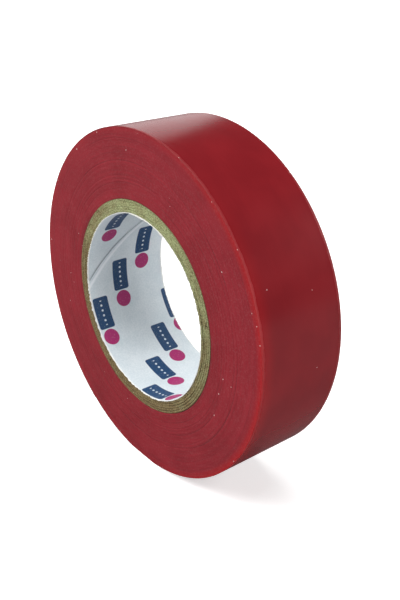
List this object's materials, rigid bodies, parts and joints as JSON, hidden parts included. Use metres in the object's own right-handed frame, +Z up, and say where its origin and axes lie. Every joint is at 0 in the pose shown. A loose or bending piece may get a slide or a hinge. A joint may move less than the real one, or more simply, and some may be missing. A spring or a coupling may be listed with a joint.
{
  "type": "electrical tape roll",
  "caption": "Roll of red vinyl insulating tape on a printed board core, with a free end that peels off the roll.",
  "frame": {"origin": "centre of the core's bore, half way across the tape's width", "axes": "+Y along the bore, from the face the picture shows to the other one; +Z up; the roll stands on its rim and +X is to the right of someone facing the shown face"},
  "size_m": [0.0704, 0.019, 0.0701],
  "materials": {
    "film": "glossy red vinyl film, calendered, slightly see-through at the edge",
    "wound_film": "slit edges of many turns, satin, with fine concentric lines",
    "board": "grey-brown chipboard, matt and fibrous, cut edge",
    "printed_paper": "smooth bluish white paper with a blue and magenta print"
  },
  "bodies": {
    "roll": {"printed_liner": "printed_paper", "core_ply_1": "board", "core_ply_2": "board", "core_ply_3": "board", "core_ply_4": "board", "core_ply_5": "board", "inner_turns": "wound_film", "last_turn": "film"},
    "tail_1": {"tail_link_1": "film"},
    "tail_2": {"tail_link_2": "film"},
    "tail_3": {"tail_link_3": "film"},
    "tail_4": {"tail_link_4": "film"},
    "tail_5": {"tail_link_5": "film"},
    "tail_6": {"tail_link_6": "film"},
    "tail_7": {"tail_link_7": "film"},
    "tail_8": {"tail_link_8": "film"}
  },
  "joints": [
    {"name": "peel_1", "type": "hinge", "parent": "roll", "child": "tail_1", "pos_m": [-0.0166, 0, 0.03105], "axis": [0, 1, 0], "range_deg": [0, 22]},
    {"name": "peel_2", "type": "hinge", "parent": "tail_1", "child": "tail_2", "pos_m": [-0.02407, 0, 0.0257], "axis": [0, 1, 0], "range_deg": [0, 22]},
    {"name": "peel_3", "type": "hinge", "parent": "tail_2", "child": "tail_3", "pos_m": [-0.02991, 0, 0.0186], "axis": [0, 1, 0], "range_deg": [0, 22]},
    {"name": "peel_4", "type": "hinge", "parent": "tail_3", "child": "tail_4", "pos_m": [-0.03371, 0, 0.01023], "axis": [0, 1, 0], "range_deg": [0, 22]},
    {"name": "peel_5", "type": "hinge", "parent": "tail_4", "child": "tail_5", "pos_m": [-0.03521, 0, 0.00115], "axis": [0, 1, 0], "range_deg": [0, 22]},
    {"name": "peel_6", "type": "hinge", "parent": "tail_5", "child": "tail_6", "pos_m": [-0.03431, 0, -0.008], "axis": [0, 1, 0], "range_deg": [0, 22]},
    {"name": "peel_7", "type": "hinge", "parent": "tail_6", "child": "tail_7", "pos_m": [-0.03108, 0, -0.01661], "axis": [0, 1, 0], "range_deg": [0, 22]},
    {"name": "peel_8", "type": "hinge", "parent": "tail_7", "child": "tail_8", "pos_m": [-0.02572, 0, -0.02409], "axis": [0, 1, 0], "range_deg": [0, 22]}
  ],
  "couplings": [
    {"joint": "peel_2", "follows": "peel_1", "ratio": 1},
    {"joint": "peel_3", "follows": "peel_1", "ratio": 1},
    {"joint": "peel_4", "follows": "peel_1", "ratio": 1},
    {"joint": "peel_5", "follows": "peel_1", "ratio": 1},
    {"joint": "peel_6", "follows": "peel_1", "ratio": 1},
    {"joint": "peel_7", "follows": "peel_1", "ratio": 1},
    {"joint": "peel_8", "follows": "peel_1", "ratio": 1}
  ]
}
